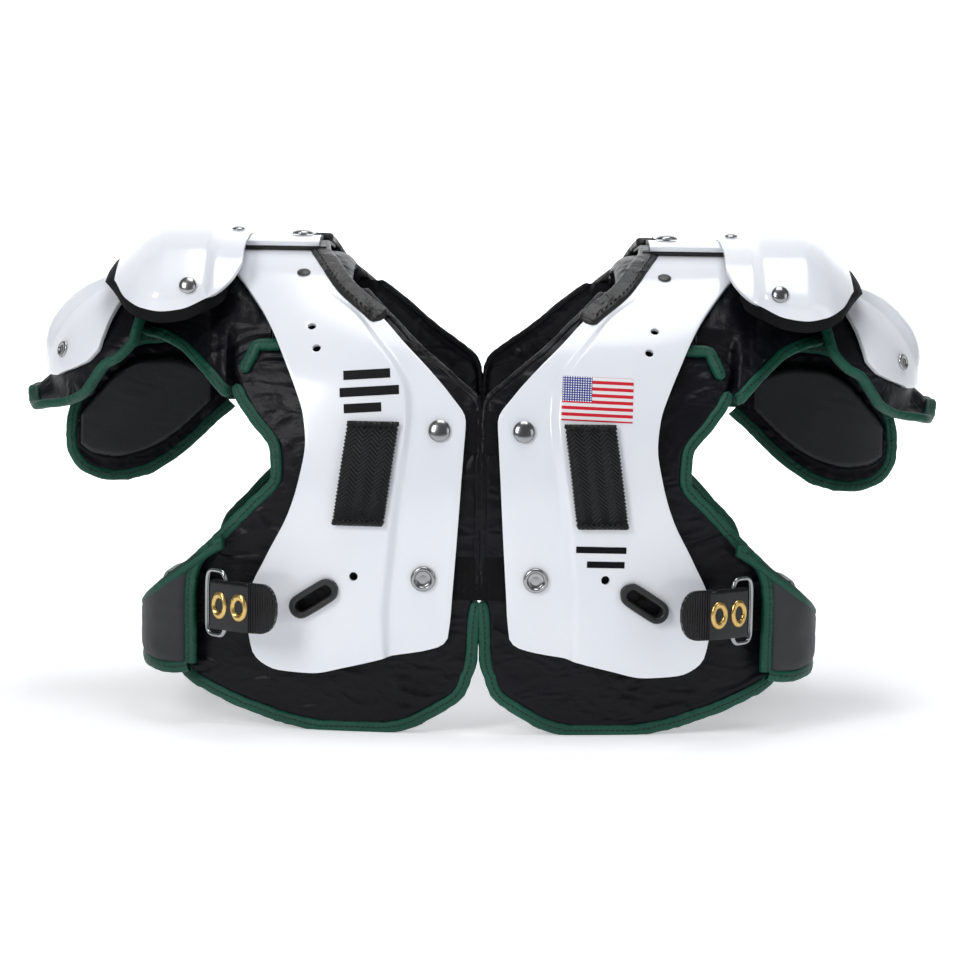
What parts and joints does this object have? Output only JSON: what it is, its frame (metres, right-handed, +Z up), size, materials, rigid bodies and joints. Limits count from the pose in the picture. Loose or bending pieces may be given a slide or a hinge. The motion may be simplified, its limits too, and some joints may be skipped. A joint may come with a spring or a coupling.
{
  "type": "football shoulder pad",
  "caption": "Shoulder pad for American football: white plastic chest, back, cap and cup shells over black padding with green bound edges, side belt and webbing.",
  "frame": {"origin": "middle of the footprint on the floor, under the neck opening", "axes": "+Z up, -Y out of the chest, +X to the right as seen from the front"},
  "size_m": [0.6186, 0.333, 0.3282],
  "materials": {
    "shell": "glossy cool white, slightly see-through plastic",
    "cloth": "black satin nylon over padding, fine wrinkles",
    "foam": "black closed foam",
    "binding": "dark green woven bias binding",
    "leather": "creased grey-black leather with a stitch line",
    "webbing": "black herringbone webbing",
    "rubber": "dark grey moulded rubber",
    "steel": "bright domed steel"
  },
  "bodies": {
    "root": {"front_plate_right": "shell", "front_plate_left": "shell", "back_plate_right": "shell", "back_plate_left": "shell", "neck_guard_right": "leather", "neck_guard_left": "leather", "shoulder_cap_right": "shell", "shoulder_cap_left": "shell", "cap_foam_right": "foam", "cap_foam_left": "foam", "arm_cup_right": "shell", "arm_cup_left": "shell", "cup_pad_right": "cloth", "cup_pad_left": "cloth", "cup_pad_binding_right": "binding", "cup_pad_binding_left": "binding", "shoulder_liner_right": "cloth", "shoulder_liner_left": "cloth", "liner_binding_right": "binding", "liner_binding_left": "binding", "arm_lobe_right": "cloth", "arm_lobe_left": "cloth", "lobe_binding_right": "binding", "lobe_binding_left": "binding", "front_pad_right": "cloth", "front_pad_left": "cloth", "front_pad_binding_right": "binding", "front_pad_binding_left": "binding", "back_pad_right": "cloth", "back_pad_left": "cloth", "back_pad_binding_right": "binding", "back_pad_binding_left": "binding", "side_wing_right": "cloth", "side_wing_left": "cloth", "wing_binding_right": "binding", "wing_binding_left": "binding", "belt_webbing_right": "webbing", "belt_webbing_left": "webbing", "belt_ring_right": "steel", "belt_ring_left": "steel", "belt_tab_right": "webbing", "belt_tab_left": "webbing", "webbing_patch_right": "webbing", "webbing_patch_left": "webbing", "slot_grommet_right": "rubber", "slot_grommet_left": "rubber", "cap_rivet_right": "steel", "cap_rivet_left": "steel", "cup_rivet_right": "steel", "cup_rivet_left": "steel", "arch_screw_right": "steel", "arch_screw_left": "steel", "chest_rivet_upper_right": "steel", "chest_rivet_upper_left": "steel", "chest_rivet_lower_right": "steel", "chest_rivet_lower_left": "steel", "chest_strap_upper": "webbing", "back_strap_upper": "webbing", "chest_strap_lower": "webbing", "back_strap_lower": "webbing"}
  },
  "joints": []
}
